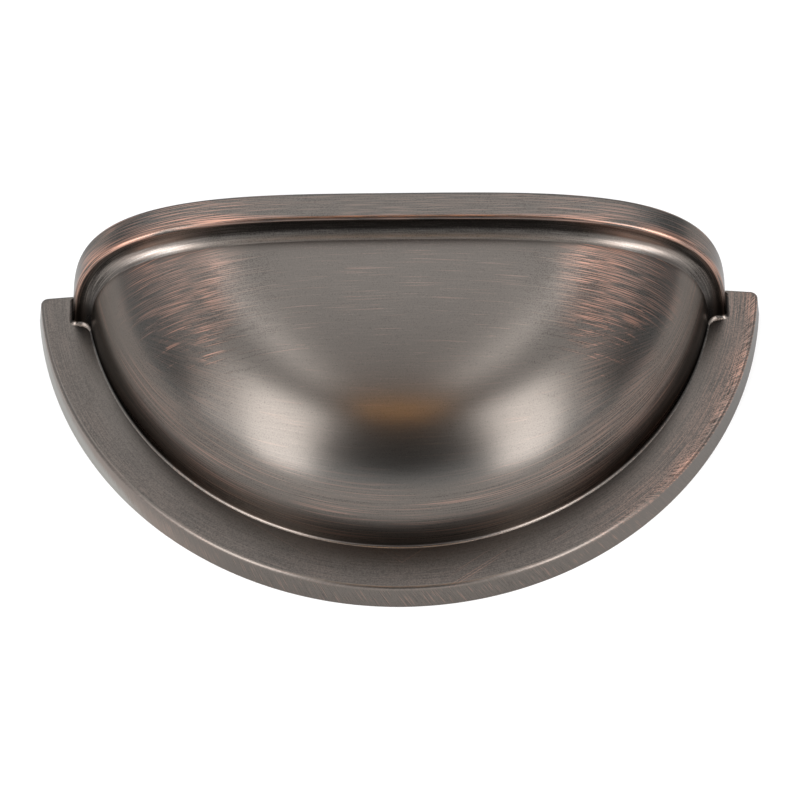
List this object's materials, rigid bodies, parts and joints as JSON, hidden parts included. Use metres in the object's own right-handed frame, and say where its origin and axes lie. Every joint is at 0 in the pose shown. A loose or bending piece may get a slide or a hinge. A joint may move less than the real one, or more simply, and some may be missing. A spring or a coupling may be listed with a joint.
{
  "type": "cup pull",
  "caption": "Half-round cup pull for a drawer: a hollow hood with a raised lip on a flat crescent flange, in brushed dark bronze, screwed on from behind.",
  "frame": {"origin": "on the flat back, in the middle of the part's width and depth", "axes": "+X along the width; +Y across the back, from the flange's round side to the opening; +Z out of the drawer front"},
  "size_m": [0.0868, 0.041, 0.0256],
  "materials": {
    "oil_rubbed_bronze": "brushed oil-rubbed bronze: dark brown satin over copper, rubbed through in fine strokes and along the edges"
  },
  "bodies": {
    "root": {"cup_pull": "oil_rubbed_bronze"}
  },
  "joints": []
}
